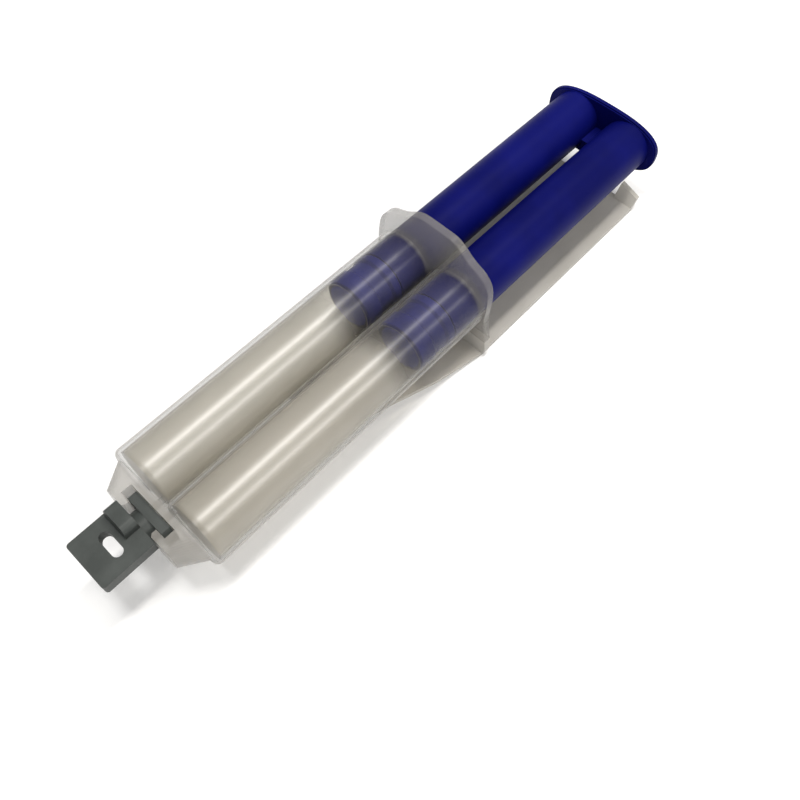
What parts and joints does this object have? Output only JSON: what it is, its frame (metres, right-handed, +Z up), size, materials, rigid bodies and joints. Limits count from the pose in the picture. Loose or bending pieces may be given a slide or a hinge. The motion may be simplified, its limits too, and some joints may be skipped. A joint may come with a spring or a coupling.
{
  "type": "two-part adhesive syringe",
  "caption": "Twin-barrel syringe for two-part epoxy: side-by-side barrels with finger flange and support plate, joined plunger with pistons, and a twist-off plug in bayonet hooks.",
  "frame": {"origin": "centre of the bounding box in X and Y, on the plane of the support plate's underside", "axes": "+X along the barrels from the outlet plug to the thumb plate, +Y across the two barrels towards the resin side, +Z up from the support plate to the barrels"},
  "size_m": [0.1906, 0.0426, 0.036],
  "materials": {
    "barrel_pp": "translucent natural polypropylene, satin gloss",
    "plunger_blue": "deep blue moulded plastic, satin gloss",
    "piston_blue": "deep blue soft moulded plastic, matt",
    "plug_grey": "dark grey moulded plastic, matt",
    "resin": "thick, clear to pale liquid resin",
    "hardener": "thick, slightly amber liquid hardener"
  },
  "bodies": {
    "barrel": {"twin_barrel": "barrel_pp", "resin_fill": "resin", "hardener_fill": "hardener"},
    "plunger": {"twin_plunger": "plunger_blue", "resin_piston": "piston_blue", "hardener_piston": "piston_blue"},
    "plug": {"outlet_plug": "plug_grey"}
  },
  "joints": [
    {"name": "plunger_slide", "type": "slide", "parent": "barrel", "child": "plunger", "axis": [-1, 0, 0], "range_m": [0, 0.0661], "deforming": ["resin_fill", "hardener_fill"]},
    {"name": "plug_twist", "type": "hinge", "parent": "barrel", "child": "plug", "pos_m": [-0.078, 0, 0.0165], "axis": [-1, 0, 0], "range_deg": [0, 90]}
  ]
}
